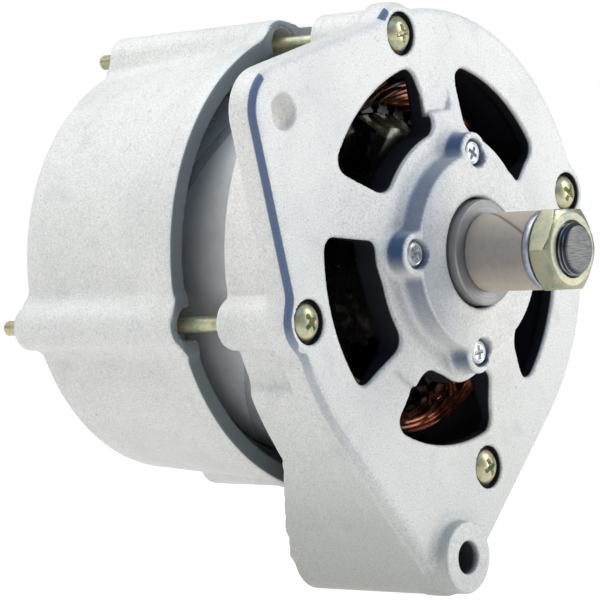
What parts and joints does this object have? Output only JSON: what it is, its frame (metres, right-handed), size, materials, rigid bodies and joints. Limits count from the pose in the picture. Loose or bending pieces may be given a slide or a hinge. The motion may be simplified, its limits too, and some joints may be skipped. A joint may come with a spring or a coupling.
{
  "type": "alternator",
  "caption": "Belt-driven claw-pole alternator with a windowed cast drive end bracket, a pivot lug, an adjuster ear and a drum-shaped rear housing, ready for its pulley.",
  "frame": {"origin": "centre of the pivot bore, level with the front face of the bracket plate", "axes": "+Y along the pivot bore and the shaft, from the pulley end to the rear; +Z from the pivot bore to the shaft; +X to the right seen from the pulley end"},
  "size_m": [0.1668, 0.1857, 0.1835],
  "materials": {
    "cast_aluminium": "shot-blasted casting",
    "yellow_zinc": "yellow passivated zinc plate",
    "bright_zinc": "bright zinc plate",
    "core_steel": "varnished laminations",
    "enamelled_copper": "enamelled copper strands, varnished",
    "bearing_steel": "ground",
    "cage_brass": "pressed sheet",
    "seal_rubber": "matt",
    "dark_steel": "blued",
    "claw_iron": "black varnished forging",
    "turned_steel": "turned",
    "washer_steel": "bright zinc plate",
    "kraft_board": "spirally wound",
    "moulded_resin": "moulded",
    "ring_copper": "polished by the brushes",
    "sink_aluminium": "pressed plate",
    "diode_plate": "nickel plate",
    "diode_black": "moulded",
    "stud_brass": "plated",
    "terminal_resin": "moulded",
    "regulator_can": "satin",
    "brush_carbon": "copper-graphite",
    "spring_steel": "bright wire"
  },
  "bodies": {
    "housing": {"drive_end_bracket": "cast_aluminium", "slip_ring_end_housing": "cast_aluminium", "through_bolts": "yellow_zinc", "stator_core": "core_steel", "stator_winding": "enamelled_copper", "bearing_retainer_plate": "bright_zinc", "retainer_screws": "bright_zinc", "front_bearing_outer_ring": "bearing_steel", "front_bearing_seals": "seal_rubber", "rear_bearing_outer_ring": "bearing_steel", "rear_bearing_seals": "seal_rubber", "positive_heat_sink": "sink_aluminium", "negative_heat_sink": "sink_aluminium", "positive_diodes": "diode_plate", "negative_diodes": "diode_plate", "exciter_diodes": "diode_black", "diode_board": "moulded_resin", "sink_spacers": "moulded_resin", "sink_screws": "bright_zinc", "output_stud": "stud_brass", "output_insulator": "terminal_resin", "output_nut": "yellow_zinc", "exciter_stud": "stud_brass", "exciter_insulator": "terminal_resin", "exciter_nut": "yellow_zinc", "phase_terminal": "bright_zinc", "regulator": "regulator_can", "regulator_screws": "bright_zinc", "brush_holder": "moulded_resin", "front_brush_spring": "spring_steel", "rear_brush_spring": "spring_steel"},
    "rotor": {"shaft": "dark_steel", "front_claw_pole": "claw_iron", "rear_claw_pole": "claw_iron", "coil_bobbin": "moulded_resin", "field_coil": "enamelled_copper", "inner_spacer": "turned_steel", "front_collar": "turned_steel", "shaft_key": "turned_steel", "shaft_sleeve": "kraft_board", "spring_washer": "washer_steel", "shaft_nut": "yellow_zinc", "slip_ring_carrier": "moulded_resin", "slip_rings": "ring_copper", "front_bearing_inner_ring": "bearing_steel", "rear_bearing_inner_ring": "bearing_steel"},
    "front_ball_set": {"front_bearing_balls": "bearing_steel", "front_bearing_cage": "cage_brass"},
    "rear_ball_set": {"rear_bearing_balls": "bearing_steel", "rear_bearing_cage": "cage_brass"},
    "front_brush_body": {"front_brush": "brush_carbon"},
    "rear_brush_body": {"rear_brush": "brush_carbon"}
  },
  "joints": [
    {"name": "rotor_spin", "type": "hinge", "parent": "housing", "child": "rotor", "pos_m": [0, 0, 0.0937], "axis": [0, 1, 0], "continuous": true},
    {"name": "front_ball_orbit", "type": "hinge", "parent": "housing", "child": "front_ball_set", "pos_m": [0, 0, 0.0937], "axis": [0, 1, 0], "continuous": true},
    {"name": "rear_ball_orbit", "type": "hinge", "parent": "housing", "child": "rear_ball_set", "pos_m": [0, 0, 0.0937], "axis": [0, 1, 0], "continuous": true},
    {"name": "front_brush_slide", "type": "slide", "parent": "housing", "child": "front_brush_body", "axis": [0, 0, 1], "range_m": [0, 0.007], "stiffness_N_per_m": 300, "springref_m": -0.01, "deforming": ["front_brush_spring"]},
    {"name": "rear_brush_slide", "type": "slide", "parent": "housing", "child": "rear_brush_body", "axis": [0, 0, 1], "range_m": [0, 0.007], "stiffness_N_per_m": 300, "springref_m": -0.01, "deforming": ["rear_brush_spring"]}
  ],
  "couplings": [
    {"joint": "front_ball_orbit", "follows": "rotor_spin", "ratio": 0.3641},
    {"joint": "rear_ball_orbit", "follows": "rotor_spin", "ratio": 0.38}
  ]
}
